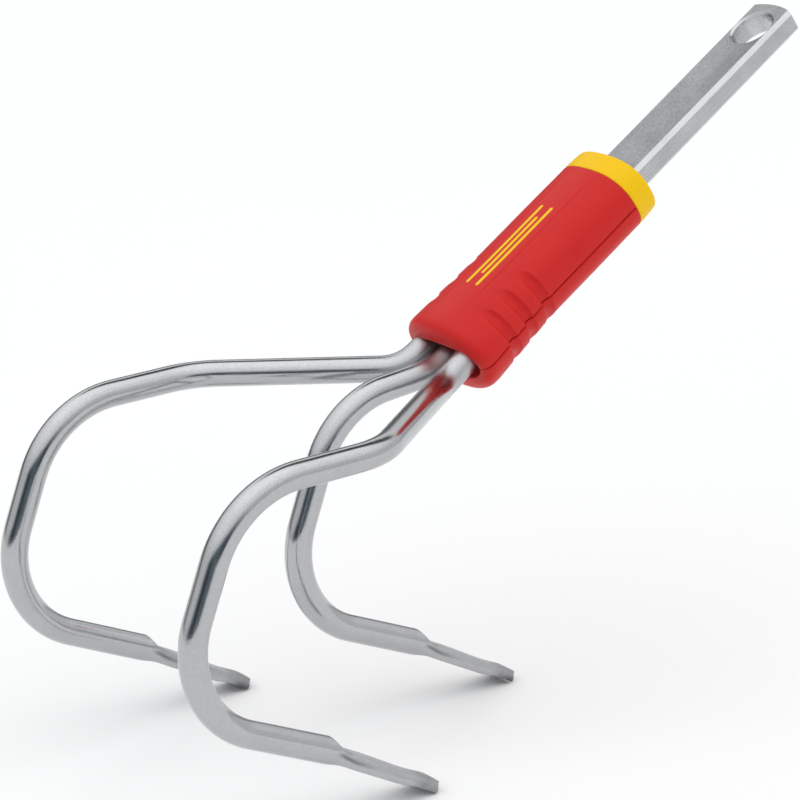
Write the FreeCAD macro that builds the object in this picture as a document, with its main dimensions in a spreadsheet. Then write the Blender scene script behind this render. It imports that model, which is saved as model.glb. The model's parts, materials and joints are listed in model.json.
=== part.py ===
"""Three-tine cultivator head for a handle system: a flat steel tang with a latch hole, three
bent rod tines welded to it, a two-shell plastic sleeve over the weld, and an end collar.

Units are millimetres. The head stands on its three blade tips on Z = 0, symmetric about the
XZ plane, with the tang rising towards +X. Pieces of the head are drawn along a tool axis that
runs along local X from the centre of the collar's rear face, then leaned onto the stance.
"""
import FreeCAD, Part
import math
import os
import Sketcher
from FreeCAD import Placement, Rotation, Vector

DIMENSIONS = [
    ("lean", 32.0, "angle of the tool axis above the ground, in degrees"),
    ("collar_ahead", 70.05, "X of the centre of the collar's rear face"),
    ("collar_height", 166.0, "Z of the centre of the collar's rear face"),
    ("rod_dia", 9.0, "round bar of the tines"),
    ("root_depth", 42.0, "collar face to the butt weld between tang and tines"),
    ("root_gap", 0.3, "gap that the butt weld fills"),
    ("root_pitch", 9.1, "spacing of the tines where they are welded side by side"),
    ("shoulder_out", 84.25, "side tine: first bend, ahead of the collar"),
    ("shoulder_side", 11.9, "side tine: first bend, off centre"),
    ("shoulder_up", 114.65, "side tine: first bend, above ground"),
    ("splay_out", 139.05, "side tine: end of the splayed run"),
    ("half_track", 55.8, "side tine: plane of the forward run"),
    ("arm_up", 114.95, "side tine: height of the level forward run"),
    ("knee_out", 191.95, "side tine: corner above the drop"),
    ("toe_out", 219.75, "side tine: lowest forward corner"),
    ("toe_up", 50.35, "side tine: height of that corner"),
    ("heel_out", 165.3, "side tine: where the rod is forged flat"),
    ("heel_up", 24.1, "side tine: height of the forging"),
    ("tip_out", 129.3, "side tine: middle of the blade's end"),
    ("mid_root_lift", 0.3, "centre tine: lift off the tool axis at the weld"),
    ("mid_shoulder_out", 78.45, "centre tine: first bend"),
    ("mid_shoulder_up", 115.65, "centre tine: height of the first bend"),
    ("mid_knee_out", 118.85, "centre tine: corner above the drop"),
    ("mid_knee_up", 112.25, "centre tine: height of that corner"),
    ("mid_toe_out", 145.95, "centre tine: lowest forward corner"),
    ("mid_toe_up", 47.95, "centre tine: height of that corner"),
    ("mid_heel_out", 92.9, "centre tine: where the rod is forged flat"),
    ("mid_heel_up", 23.3, "centre tine: height of the forging"),
    ("mid_tip_out", 57.6, "centre tine: middle of the blade's end"),
    ("side_lift", 0.9, "side tines: lift off the tool axis at the weld"),
    ("bend_shoulder", 15.5, "bend radius at the side shoulders"),
    ("bend_splay", 26.0, "bend radius at the end of the splay"),
    ("bend_knee", 34.5, "bend radius of the side knees"),
    ("bend_toe", 31.5, "bend radius at the toes"),
    ("bend_mid_shoulder", 17.0, "bend radius at the centre shoulder"),
    ("bend_mid_knee", 32.5, "bend radius of the centre knee"),
    ("neck_out", 160.9, "side tine: where the blade begins, below the forging"),
    ("neck_up", 19.9, "side tine: height of the blade's middle there"),
    ("mid_neck_out", 88.5, "centre tine: where the blade begins"),
    ("mid_neck_up", 19.2, "centre tine: height of the blade's middle there"),
    ("neck_width", 11.4, "blade width where it starts"),
    ("neck_thick", 4.0, "blade thickness where it starts"),
    ("blade_width", 12.0, "blade width at its end"),
    ("blade_thick", 3.8, "blade thickness at its end"),
    ("blade_round", 0.6, "corner radius of the blade's section"),
    ("tang_width", 19.8, "flat bar width"),
    ("tang_thick", 8.5, "flat bar thickness"),
    ("tang_reach", 84.0, "collar face to the corners of the tang's end"),
    ("tang_crown", 1.8, "rise of the rounded end between its corners"),
    ("tang_edge", 1.45, "chamfer along the tang's long edges"),
    ("latch_out", 73.7, "collar face to the centre of the latch hole"),
    ("latch_radius", 7.5, "latch hole"),
    ("latch_edge", 0.75, "chamfer round the latch hole's rims"),
    ("sleeve_half_wide", 17.65, "half width of the sleeve's straight part"),
    ("sleeve_half_high", 12.75, "half height of the sleeve's straight part"),
    ("sleeve_power", 2.5, "exponent of the straight part's oval section; 2 is an ellipse"),
    ("front_half_wide", 21.6, "half width of the sleeve at its nose"),
    ("front_half_high", 13.6, "sleeve's height above the tool axis at its nose"),
    ("front_half_low", 15.3, "sleeve's depth below the tool axis at its nose"),
    ("front_power", 2.02, "exponent of the nose's oval section"),
    ("sleeve_wall", 2.4, "wall of the shells"),
    ("collar_length", 8.6, "collar's visible length"),
    ("collar_waist", 2.9, "collar face to where its taper ends"),
    ("collar_waist_inset", 0.25, "collar's waist inside the sleeve's outline"),
    ("collar_half_wide", 16.9, "half width of the collar's rear rim"),
    ("collar_half_high", 11.8, "half height of the collar's rear rim"),
    ("spigot_length", 6.0, "collar's spigot inside the shells"),
    ("flare_start", 50.0, "collar face to where the sleeve begins to flare"),
    ("nose_start", 83.0, "collar face to the start of the rounded nose"),
    ("nose_length", 5.0, "length of the rounded nose"),
    ("nose_round", 4.0, "how far the nose draws in at its front"),
    ("front_wall", 7.0, "thickness of the wall round the mouth"),
    ("mouth_half_wide", 16.9, "half width of the mouth"),
    ("mouth_half_high", 6.6, "half height of the mouth"),
    ("mouth_lift", 0.0, "mouth's centre above the tool axis"),
    ("seam_drop", 1.2, "the shells' seam below the tool axis"),
    ("fit_gap", 0.15, "clearance between the plastic and the steel"),
    ("rib_thick", 2.0, "thickness of the shells' inner ribs"),
    ("room_clearance", 0.3, "extra room inside the flared front"),
    ("groove_first", 55.4, "collar face to the middle of the first finger groove"),
    ("groove_pitch", 9.1, "spacing of the finger grooves"),
    ("groove_round", 3.0, "radius of a groove across its length"),
    ("groove_wrap", 14.0, "radius of the curve that a groove follows round the side"),
    ("groove_depth", 1.2, "depth of a groove at the side"),
    ("bead_radius", 1.6, "radius of the weld beads"),
    ("bead_run", 18.0, "length of the beads between the tines"),
    ("bead_middle", 13.5, "root of the tines to the middle of those beads"),
]

doc = FreeCAD.newDocument("cultivator_head")
sheet = doc.addObject("Spreadsheet::Sheet", "sheet")
for line, (alias, value, meaning) in enumerate(DIMENSIONS, start=1):
    sheet.set(f"A{line}", meaning)
    sheet.set(f"B{line}", str(value))
    sheet.setAlias(f"B{line}", alias)
doc.recompute()

SECTION_POINTS = 24
CORNER_HALF_ANGLE = 25.0
SLOPE_STEPS = 4
GROOVES_PER_SIDE = 3
GROOVE_SWEEP = 110.0
FLARE_SHARES = (0.0, 0.3, 0.65, 1.0)
NOSE_ANGLES = (0, 30, 60, 90)
CUT_MARGIN = 1.0
RIB_STATIONS = (0.36, 0.62, 0.86)
sub_parts = []


def dim(alias):
    """Value of one driving dimension."""
    return float(sheet.get(alias))


def bind(obj, **expressions):
    """Tie properties of an object to the sheet; a double underscore stands for a dot."""
    for name, expression in expressions.items():
        obj.setExpression(name.replace("__", "."), expression)
    return obj


def add(kind, name, **properties):
    obj = doc.addObject(kind, name)
    for key, value in properties.items():
        setattr(obj, key, value)
    return obj


def shape_feature(name, shape):
    """Helper geometry worked out from the sheet, such as a path or a section."""
    obj = doc.addObject("Part::Feature", name)
    obj.Shape = shape
    return obj


def finish(obj, label, leaned=True):
    """Name a sub-part and lean it from the tool axis onto the stance."""
    obj.Label = label
    if leaned:
        obj.Placement = Placement(Vector(), Rotation(Vector(0, 1, 0), -1))
        bind(
            obj,
            Placement__Base__x="sheet.collar_ahead",
            Placement__Base__z="sheet.collar_height",
            Placement__Rotation__Angle="-sheet.lean * 1 deg",
        )
    sub_parts.append(obj)
    return obj


def on_stance(out, side, up):
    """Point given ahead of the collar, off centre and above the ground."""
    return Vector(dim("collar_ahead") - out, side, up)


def from_axis(along, side, lift):
    """Point on the stance from its place along, beside and above the tool axis."""
    lean = math.radians(dim("lean"))
    return Vector(
        dim("collar_ahead") + along * math.cos(lean) - lift * math.sin(lean),
        side,
        dim("collar_height") + along * math.sin(lean) + lift * math.cos(lean),
    )


def rounded_path(points, radii):
    """Straight runs through the points, joined by tangent arcs."""
    edges = []
    start = points[0]
    for before, corner, after, radius in zip(points, points[1:], points[2:], radii):
        back = (before - corner).normalize()
        ahead = (after - corner).normalize()
        half = back.getAngle(ahead) / 2
        reach = radius / math.tan(half)
        middle = (back + ahead).normalize()
        arc_start = corner + back * reach
        arc_end = corner + ahead * reach
        arc_mid = corner + middle * (radius / math.sin(half) - radius)
        edges.append(Part.LineSegment(start, arc_start).toShape())
        edges.append(Part.Arc(arc_start, arc_mid, arc_end).toShape())
        start = arc_end
    edges.append(Part.LineSegment(start, points[-1]).toShape())
    return Part.Wire(edges)


def eight_edge_section(centre, across, upward, outline):
    """Closed wire of four sides and four corners, from (side, up) points and bulges."""
    corners, middles = outline
    places = [centre + across * y + upward * z for y, z in corners]
    bulges = [centre + across * y + upward * z for y, z in middles]
    edges = []
    for k, bulge in enumerate(bulges):
        first, last = places[k], places[(k + 1) % len(places)]
        straight = bulge.distanceToLine(first, last - first) < 1e-6
        curve = Part.LineSegment(first, last) if straight else Part.Arc(first, bulge, last)
        edges.append(curve.toShape())
    return Part.Wire(edges)


def round_outline(radius):
    """Circle cut at eight places that match the corners of a blade section."""
    flat = math.radians(90 - 2 * CORNER_HALF_ANGLE) / 2
    cuts = []
    for quarter in range(4):
        centre_angle = quarter * math.pi / 2
        cuts += [centre_angle - flat, centre_angle + flat]
    ends = [(radius * math.cos(a), radius * math.sin(a)) for a in cuts]
    middles = []
    for k, angle in enumerate(cuts):
        after = cuts[(k + 1) % len(cuts)] + (2 * math.pi if k == len(cuts) - 1 else 0)
        mean = (angle + after) / 2
        middles.append((radius * math.cos(mean), radius * math.sin(mean)))
    return ends, middles


def flat_outline(width, thick, corner):
    """Rounded rectangle, in the same order of edges as the round outline."""
    w, t = width / 2, thick / 2
    ends = [
        (w, corner - t), (w, t - corner), (w - corner, t), (corner - w, t),
        (-w, t - corner), (-w, corner - t), (corner - w, -t), (w - corner, -t),
    ]
    dip = corner * (1 - math.sqrt(0.5))
    middles = [
        (w, 0), (w - dip, t - dip), (0, t), (dip - w, t - dip),
        (-w, 0), (dip - w, dip - t), (0, -t), (w - dip, dip - t),
    ]
    return ends, middles


def tine(label, points, radii, neck, tip_out):
    """Round bar swept along its bends, then forged into a flat blade."""
    path = rounded_path(points, radii)
    spine = shape_feature(label + "_path", path)
    section = bind(add("Part::Circle", label + "_section"), Radius="sheet.rod_dia / 2")
    heading = points[1] - points[0]
    section.Placement = Placement(points[0], Rotation(Vector(0, 0, 1), heading))
    rod = add("Part::Sweep", label + "_rod", Sections=[section], Solid=True, Frenet=False)
    rod.Spine = (spine, [f"Edge{k + 1}" for k in range(len(path.Edges))])

    across = Vector(0, 1, 0)
    heel = points[-1]
    run = (heel - points[-2]).normalize()
    above = across.cross(run) * -1
    tip = on_stance(tip_out, heel.y, 0)
    for _ in range(SLOPE_STEPS):
        slope = math.atan2(neck.z - tip.z, tip.x - neck.x)
        tip.z = dim("blade_thick") / 2 * math.cos(slope)
    blade_run = (tip - neck).normalize()
    blade_above = across.cross(blade_run) * -1
    corner = dim("blade_round")
    outlines = [
        (heel, above, round_outline(dim("rod_dia") / 2)),
        (neck, blade_above, flat_outline(dim("neck_width"), dim("neck_thick"), corner)),
        (tip, blade_above, flat_outline(dim("blade_width"), dim("blade_thick"), corner)),
    ]
    wires = []
    for k, (centre, upward, outline) in enumerate(outlines):
        wire = eight_edge_section(centre, across, upward, outline)
        wires.append(shape_feature(f"{label}_blade_section_{k + 1}", wire))
    blade = add("Part::Loft", label + "_blade", Sections=wires, Solid=True, Ruled=True)
    whole = add("Part::MultiFuse", label, Shapes=[rod, blade], Refine=True)
    return finish(whole, label, leaned=False)


def side_tine(label, hand):
    """One of the two outer tines, on the side given by the sign of hand."""
    track = hand * dim("half_track")
    root = -dim("root_depth") - dim("root_gap")
    points = [
        from_axis(root, hand * dim("root_pitch"), dim("side_lift")),
        on_stance(dim("shoulder_out"), hand * dim("shoulder_side"), dim("shoulder_up")),
        on_stance(dim("splay_out"), track, dim("arm_up")),
        on_stance(dim("knee_out"), track, dim("arm_up")),
        on_stance(dim("toe_out"), track, dim("toe_up")),
        on_stance(dim("heel_out"), track, dim("heel_up")),
    ]
    radii = [dim(name) for name in ("bend_shoulder", "bend_splay", "bend_knee", "bend_toe")]
    neck = on_stance(dim("neck_out"), track, dim("neck_up"))
    return tine(label, points, radii, neck, dim("tip_out"))


def centre_tine():
    """The middle tine, set back towards the handle."""
    points = [
        from_axis(-dim("root_depth") - dim("root_gap"), 0, dim("mid_root_lift")),
        on_stance(dim("mid_shoulder_out"), 0, dim("mid_shoulder_up")),
        on_stance(dim("mid_knee_out"), 0, dim("mid_knee_up")),
        on_stance(dim("mid_toe_out"), 0, dim("mid_toe_up")),
        on_stance(dim("mid_heel_out"), 0, dim("mid_heel_up")),
    ]
    radii = [dim(name) for name in ("bend_mid_shoulder", "bend_mid_knee", "bend_toe")]
    neck = on_stance(dim("mid_neck_out"), 0, dim("mid_neck_up"))
    return tine("centre_tine", points, radii, neck, dim("mid_tip_out"))


def origin_plane(body, role):
    return [f for f in body.Origin.OriginFeatures if f.Role == role][0]


def tang():
    """Flat bar with a rounded end, chamfered edges and the latch hole."""
    body = doc.addObject("PartDesign::Body", "tang")
    outline = body.newObject("Sketcher::SketchObject", "tang_outline")
    outline.AttachmentSupport = (origin_plane(body, "XY_Plane"), [""])
    outline.MapMode = "FlatFace"
    half, root = dim("tang_width") / 2, -dim("root_depth")
    reach, crown = dim("tang_reach"), dim("tang_crown")
    corners = [Vector(reach, half), Vector(root, half), Vector(root, -half), Vector(reach, -half)]
    for first, last in zip(corners, corners[1:]):
        outline.addGeometry(Part.LineSegment(first, last), False)
    outline.addGeometry(Part.Arc(corners[3], Vector(reach + crown, 0), corners[0]), False)
    for k in range(4):
        outline.addConstraint(Sketcher.Constraint("Coincident", k, 2, (k + 1) % 4, 1))
    outline.addConstraint(Sketcher.Constraint("Horizontal", 0))
    outline.addConstraint(Sketcher.Constraint("Vertical", 1))
    outline.addConstraint(Sketcher.Constraint("Horizontal", 2))
    outline.addConstraint(Sketcher.Constraint("Symmetric", 0, 1, 2, 2, -1))
    driven = [
        ("DistanceX", (-1, 1, 0, 1), reach, "sheet.tang_reach"),
        ("DistanceX", (1, 1, -1, 1), -root, "sheet.root_depth"),
        ("DistanceY", (1, 2, 1, 1), 2 * half, "sheet.tang_width"),
        ("Radius", (3,), (half**2 + crown**2) / (2 * crown),
         "(sheet.tang_width^2 / 4 + sheet.tang_crown^2) / (2 * sheet.tang_crown)"),
    ]
    for kind, places, value, expression in driven:
        index = outline.addConstraint(Sketcher.Constraint(kind, *places, value))
        outline.setExpression(f"Constraints[{index}]", expression)
    bar = body.newObject("PartDesign::Pad", "tang_bar")
    bar.Profile = outline
    bar.Midplane = True
    bind(bar, Length="sheet.tang_thick")
    doc.recompute()
    long_edges = []
    for k, edge in enumerate(bar.Shape.Edges):
        box = edge.BoundBox
        if box.XLength > reach and box.YLength < 1e-6:
            long_edges.append(f"Edge{k + 1}")
    eased = body.newObject("PartDesign::Chamfer", "tang_edges")
    eased.Base = (bar, long_edges)
    bind(eased, Size="sheet.tang_edge")
    latch = body.newObject("Sketcher::SketchObject", "latch_outline")
    latch.AttachmentSupport = (origin_plane(body, "XY_Plane"), [""])
    latch.MapMode = "FlatFace"
    latch.addGeometry(Part.Circle(Vector(dim("latch_out"), 0), Vector(0, 0, 1),
                                  dim("latch_radius")), False)
    latch.addConstraint(Sketcher.Constraint("PointOnObject", 0, 3, -1))
    for kind, places, alias in (("DistanceX", (-1, 1, 0, 3), "latch_out"),
                                ("Radius", (0,), "latch_radius")):
        index = latch.addConstraint(Sketcher.Constraint(kind, *places, dim(alias)))
        latch.setExpression(f"Constraints[{index}]", "sheet." + alias)
    hole = body.newObject("PartDesign::Pocket", "latch_hole")
    hole.Profile = latch
    hole.Type = "ThroughAll"
    hole.Midplane = True
    doc.recompute()
    rims = [f"Edge{k + 1}" for k, edge in enumerate(hole.Shape.Edges)
            if isinstance(edge.Curve, Part.Circle)
            and abs(edge.Curve.Radius - dim("latch_radius")) < 1e-6]
    rim = body.newObject("PartDesign::Chamfer", "latch_rims")
    rim.Base = (hole, rims)
    bind(rim, Size="sheet.latch_edge")
    body.Tip = rim
    return finish(body, "tang")


def oval(name, along, size, inset=0.0):
    """Closed oval section at a distance ahead of the collar face, from its size and exponent."""
    half_wide, high, low, power = size
    points = []
    for k in range(SECTION_POINTS):
        angle = 2 * math.pi * k / SECTION_POINTS
        c, s = math.cos(angle), math.sin(angle)
        tall = high if s >= 0 else low
        y = (half_wide - inset) * math.copysign(abs(c) ** (2 / power), c)
        z = (tall - inset) * math.copysign(abs(s) ** (2 / power), s)
        points.append(Vector(-along, y, z))
    curve = Part.BSplineCurve()
    curve.interpolate(Points=points, PeriodicFlag=True)
    return shape_feature(name, Part.Wire(curve.toShape()))


def sleeve_size(along):
    """Half width, height above, depth below and exponent of the sleeve at a station."""
    reach = dim("nose_start") - dim("flare_start")
    share = min(max((along - dim("flare_start")) / reach, 0.0), 1.0)
    eased = share * share * (3 - share) / 2
    half_high = dim("sleeve_half_high")
    sizes = (
        (dim("sleeve_half_wide"), dim("front_half_wide"), share),
        (half_high, dim("front_half_high"), eased),
        (half_high, dim("front_half_low"), eased),
        (dim("sleeve_power"), dim("front_power"), share),
    )
    return tuple(rear + (front - rear) * part for rear, front, part in sizes)


def lofted(name, sections, ruled=False):
    return add("Part::Loft", name, Sections=sections, Solid=True, Ruled=ruled)


def slot_box(name, low, high):
    """Box between two corners on the tool axis frame."""
    size = high - low
    box = add("Part::Box", name, Length=size.x, Width=size.y, Height=size.z)
    box.Placement = Placement(low, Rotation())
    return box


def round_ended_slot(name, rear, front, half_wide, half_high, lift):
    """Passage along the tool axis whose section is a slot with round ends."""
    middle = half_wide - half_high
    box = slot_box(name + "_flat", Vector(rear, -middle, lift - half_high),
                   Vector(front, middle, lift + half_high))
    pieces = [box]
    for end, side in (("left", middle), ("right", -middle)):
        round_end = add("Part::Cylinder", f"{name}_{end}", Radius=half_high, Height=front - rear)
        round_end.Placement = Placement(Vector(rear, side, lift), Rotation(Vector(0, 1, 0), 90))
        pieces.append(round_end)
    return add("Part::MultiFuse", name, Shapes=pieces)


def end_collar():
    """Tapered oval ring with a spigot inside the shells and a slot for the tang."""
    body = sleeve_size(0)
    rim_high = dim("collar_half_high")
    rim = (dim("collar_half_wide"), rim_high, rim_high, dim("sleeve_power"))
    ring = lofted("collar_ring", [
        oval("collar_rim", 0, rim),
        oval("collar_waist_section", dim("collar_waist"), body, dim("collar_waist_inset")),
        oval("collar_front", dim("collar_length"), body),
    ], ruled=True)
    inset = dim("sleeve_wall") + dim("fit_gap")
    spigot = lofted("collar_spigot", [
        oval("spigot_rear", dim("collar_length"), body, inset),
        oval("spigot_front", dim("collar_length") + dim("spigot_length"), body, inset),
    ], ruled=True)
    blank = add("Part::Fuse", "collar_blank", Base=ring, Tool=spigot)
    gap = dim("fit_gap")
    half_w, half_t = dim("tang_width") / 2 + gap, dim("tang_thick") / 2 + gap
    slot = slot_box("collar_slot", Vector(-dim("root_depth"), -half_w, -half_t),
                    Vector(dim("collar_length"), half_w, half_t))
    return finish(add("Part::Cut", "end_collar", Base=blank, Tool=slot), "end_collar")


def finger_grooves():
    """Curved scallops wrapped round both sides of the flared front."""
    wrap, across, depth = dim("groove_wrap"), dim("groove_round"), dim("groove_depth")
    cutters = []
    for hand, side_name in ((1, "left"), (-1, "right")):
        for k in range(GROOVES_PER_SIDE):
            along = dim("groove_first") + k * dim("groove_pitch")
            half_wide = sleeve_size(along)[0]
            cutter = add("Part::Torus", f"groove_{side_name}_{k + 1}", Angle3=GROOVE_SWEEP)
            bind(cutter, Radius1="sheet.groove_wrap + sheet.groove_round - sheet.groove_depth",
                 Radius2="sheet.groove_round")
            facing = Rotation(Vector(0, 1, 0), 90) * Rotation(
                Vector(0, 0, 1), hand * 90 - GROOVE_SWEEP / 2)
            cutter.Placement = Placement(Vector(-along, hand * (half_wide - wrap), 0), facing)
            cutters.append(cutter)
    return cutters


def sleeve_outside():
    """Outer form of the sleeve: straight oval, flare and rounded nose."""
    start, flare, nose = dim("collar_length"), dim("flare_start"), dim("nose_start")
    straight = lofted("sleeve_straight", [
        oval("sleeve_rear", start, sleeve_size(start)),
        oval("sleeve_middle", flare, sleeve_size(flare)),
    ], ruled=True)
    stations = [flare + (nose - flare) * share for share in FLARE_SHARES]
    flared = lofted("sleeve_flared", [
        oval(f"flare_section_{k}", along, sleeve_size(along)) for k, along in enumerate(stations)])
    nose_sections = []
    for k, angle in enumerate(NOSE_ANGLES):
        turn = math.radians(angle)
        along = nose + dim("nose_length") * math.sin(turn)
        inset = dim("nose_round") * (1 - math.cos(turn))
        nose_sections.append(oval(f"nose_section_{k}", along, sleeve_size(along), inset))
    nose_piece = lofted("sleeve_nose", nose_sections)
    return add("Part::MultiFuse", "sleeve_outside", Shapes=[straight, flared, nose_piece])


def sleeve_blank():
    """Whole sleeve before it is split: outer form less cavity, mouth and finger grooves."""
    start, flare = dim("collar_length"), dim("flare_start")
    front = dim("nose_start") + dim("nose_length")
    room_end = front - dim("front_wall")
    wall = dim("sleeve_wall")
    room = lofted("sleeve_room", [
        oval("room_rear", start, sleeve_size(start), wall),
        oval("room_middle", flare, sleeve_size(flare), wall),
        oval("room_front", room_end, sleeve_size(room_end), wall + dim("room_clearance")),
    ], ruled=True)
    gap = dim("fit_gap")
    wide, tall = dim("front_half_wide"), dim("front_half_low")
    ribs = []
    for k, share in enumerate(RIB_STATIONS):
        along = start + (room_end - start) * share
        ribs.append(slot_box(f"rib_{k + 1}", Vector(-along - dim("rib_thick"), -wide, -tall),
                             Vector(-along, wide, tall)))
    rib_stack = add("Part::MultiFuse", "ribs", Shapes=ribs)
    tang_w, tang_t = dim("tang_width") / 2 + gap, dim("tang_thick") / 2 + gap
    tang_way = slot_box("tang_way", Vector(-dim("root_depth"), -tang_w, -tang_t),
                        Vector(0, tang_w, tang_t))
    mouth = round_ended_slot("mouth", -front - CUT_MARGIN, -dim("root_depth"),
                             dim("mouth_half_wide"), dim("mouth_half_high"), dim("mouth_lift"))
    ways = add("Part::MultiFuse", "ways", Shapes=[tang_way, mouth])
    open_ribs = add("Part::Cut", "open_ribs", Base=rib_stack, Tool=ways)
    hollow = add("Part::Cut", "room_with_ribs", Base=room, Tool=open_ribs)
    cuts = add("Part::MultiFuse", "sleeve_cuts", Shapes=[hollow, mouth] + finger_grooves())
    return add("Part::Cut", "sleeve_blank", Base=sleeve_outside(), Tool=cuts)


def shells():
    """The two halves of the sleeve, parted at the seam."""
    blank = sleeve_blank()
    reach = dim("nose_start") + dim("nose_length") + CUT_MARGIN
    wide, high = dim("front_half_wide") + CUT_MARGIN, dim("front_half_low") + CUT_MARGIN
    seam = -dim("seam_drop")
    halves = (("upper_shell", seam, high), ("lower_shell", -high, seam))
    for label, low, top in halves:
        half = slot_box(label + "_side", Vector(-reach, -wide, low), Vector(0, wide, top))
        finish(add("Part::Common", label, Base=blank, Tool=half), label)


def beads(label, places, length, direction):
    """Weld beads: round-ended rolls of metal laid along a joint."""
    radius = dim("bead_radius")
    rolls = []
    for k, place in enumerate(places):
        roll = add("Part::Cylinder", f"{label}_roll_{k + 1}", Height=length)
        bind(roll, Radius="sheet.bead_radius")
        roll.Placement = Placement(place - direction * (length / 2),
                                   Rotation(Vector(0, 0, 1), direction))
        rolls.append(roll)
        for end, sign in (("first", -1), ("last", 1)):
            cap = bind(add("Part::Sphere", f"{label}_{end}_end_{k + 1}"), Radius="sheet.bead_radius")
            cap.Placement.Base = place + direction * (sign * length / 2)
            rolls.append(cap)
    return add("Part::MultiFuse", label + "_metal", Shapes=rolls)


def welds(steel):
    """Beads across the butt joint, and beads between neighbouring tines at their roots."""
    root, lift = -dim("root_depth"), dim("side_lift")
    rod = dim("rod_dia") / 2
    back = Placement(from_axis(0, 0, 0), Rotation(Vector(0, 1, 0), -dim("lean")))
    across, along = Vector(0, 1, 0), Vector(1, 0, 0)
    sets = {
        "butt_welds": ([Vector(root, 0, sign * dim("tang_thick") / 2) for sign in (1, -1)],
                       dim("tang_width"), across),
        "tine_welds": ([Vector(root - dim("bead_middle"), hand * dim("root_pitch") / 2,
                               lift + sign * rod / 2)
                        for hand in (1, -1) for sign in (1, -1)], dim("bead_run"), along),
    }
    for label, (places, length, direction) in sets.items():
        metal = beads(label, places, length, direction)
        metal.Placement = back
        trimmed = metal
        for k, piece in enumerate(steel):
            trimmed = add("Part::Cut", f"{label}_trim_{k + 1}", Base=trimmed, Tool=piece)
        trimmed.Label = label
        sub_parts.append(trimmed)


def main():
    bar = tang()
    tines = [side_tine("left_tine", 1), centre_tine(), side_tine("right_tine", -1)]
    doc.recompute()
    welds([bar] + tines)
    shells()
    end_collar()
    doc.recompute()
    for obj in doc.Objects:
        if "Invalid" in obj.State or "Error" in obj.State:
            raise RuntimeError(f"{obj.Name} failed: {obj.State}")
    for obj in sub_parts:
        if obj.Shape.isNull() or not obj.Shape.isValid() or not obj.Shape.Solids:
            raise RuntimeError(f"{obj.Label} has no valid solid")
    os.makedirs("parts", exist_ok=True)
    for obj in sub_parts:
        obj.Shape.exportStep(f"parts/{obj.Label}.step")
        box = obj.Shape.BoundBox
        print(f"{obj.Label:14s} solids {len(obj.Shape.Solids)} volume {obj.Shape.Volume:9.1f} "
              f"x {box.XMin:7.2f} {box.XMax:7.2f} y {box.YMin:6.2f} {box.YMax:6.2f} "
              f"z {box.ZMin:6.2f} {box.ZMax:6.2f}")


main()
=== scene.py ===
"""Looks of the three-tine cultivator head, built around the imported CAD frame, in metres."""
import json
import math
import bmesh
import bpy
from mathutils import Matrix, Vector


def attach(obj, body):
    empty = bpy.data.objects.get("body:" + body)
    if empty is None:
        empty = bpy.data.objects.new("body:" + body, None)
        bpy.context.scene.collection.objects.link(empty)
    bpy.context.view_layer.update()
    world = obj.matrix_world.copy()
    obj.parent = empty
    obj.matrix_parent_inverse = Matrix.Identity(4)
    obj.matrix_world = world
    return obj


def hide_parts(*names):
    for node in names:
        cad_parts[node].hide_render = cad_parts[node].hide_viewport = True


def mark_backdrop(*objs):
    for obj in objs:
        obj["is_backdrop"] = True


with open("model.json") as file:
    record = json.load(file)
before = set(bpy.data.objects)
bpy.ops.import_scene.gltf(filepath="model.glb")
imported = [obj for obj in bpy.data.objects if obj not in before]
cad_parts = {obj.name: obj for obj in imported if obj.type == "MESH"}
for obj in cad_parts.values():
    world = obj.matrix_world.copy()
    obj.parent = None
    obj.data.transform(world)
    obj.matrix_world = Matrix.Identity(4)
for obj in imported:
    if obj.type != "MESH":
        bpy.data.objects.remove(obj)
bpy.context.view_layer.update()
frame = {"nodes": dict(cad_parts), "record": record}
MM = 0.001

# ---------------------------------------------------------------- the tool axis, from the frame
mounts = {mount["name"]: mount for mount in frame["record"]["mounts"]}
ORIGIN = Vector(mounts["tang"]["pos_m"])
ALONG = Vector(mounts["tang"]["axis"]).normalized()
ACROSS = Vector((0.0, 1.0, 0.0))
UP = ALONG.cross(ACROSS).normalized()
TOOL = Matrix((
    (ALONG.x, ACROSS.x, UP.x, ORIGIN.x),
    (ALONG.y, ACROSS.y, UP.y, ORIGIN.y),
    (ALONG.z, ACROSS.z, UP.z, ORIGIN.z),
    (0.0, 0.0, 0.0, 1.0),
))
TOOL_TURN = (0.0, -math.asin(ALONG.z), 0.0)


def head_point(along, side, lift):
    """Point beside the tool axis: along it from the collar's rear face, across it, above it."""
    return TOOL @ Vector((along, side, lift))


# ---------------------------------------------------------------- mesh helpers
def new_object(name, verts, faces, smooth_angle, attributes=None):
    """Closed mesh with outward normals, smooth across edges up to an angle in degrees.

    The attributes are point vectors for the materials."""
    mesh = bpy.data.meshes.new(name)
    mesh.from_pydata([tuple(v) for v in verts], [], faces)
    for label, values in (attributes or {}).items():
        attribute = mesh.attributes.new(label, "FLOAT_VECTOR", "POINT")
        attribute.data.foreach_set("vector", [c for value in values for c in value])
    obj = bpy.data.objects.new(name, mesh)
    bpy.context.scene.collection.objects.link(obj)
    bm = bmesh.new()
    bm.from_mesh(mesh)
    bmesh.ops.recalc_face_normals(bm, faces=bm.faces)
    bm.to_mesh(mesh)
    bm.free()
    mesh.shade_smooth()
    mesh.set_sharp_from_angle(angle=math.radians(smooth_angle))
    return obj


def ring_faces(rings, columns, closed_rings=False, closed_columns=True):
    """Quads between neighbouring rings of a grid stored ring by ring."""
    faces = []
    for i in range(rings if closed_rings else rings - 1):
        a, b = i * columns, ((i + 1) % rings) * columns
        for j in range(columns if closed_columns else columns - 1):
            k = (j + 1) % columns
            faces.append((a + j, a + k, b + k, b + j))
    return faces


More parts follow.
